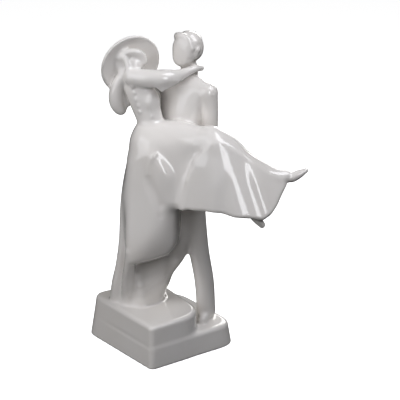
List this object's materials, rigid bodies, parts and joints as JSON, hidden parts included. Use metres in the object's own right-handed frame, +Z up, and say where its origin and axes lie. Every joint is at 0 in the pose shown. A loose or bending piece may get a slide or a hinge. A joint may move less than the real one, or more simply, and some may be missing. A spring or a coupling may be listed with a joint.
{
  "type": "porcelain couple figurine",
  "caption": "Glazed porcelain figurine of a man carrying a woman in a wide hat and long gown, standing on a two-step plinth.",
  "frame": {"origin": "in the flat underside of the plinth, near its middle", "axes": "+Z up along the figures, +X to the right of the front view, +Y away from the viewer"},
  "size_m": [0.2001, 0.1271, 0.2962],
  "materials": {
    "glaze": "gloss"
  },
  "bodies": {
    "root": {"figurine": "glaze"}
  },
  "joints": []
}
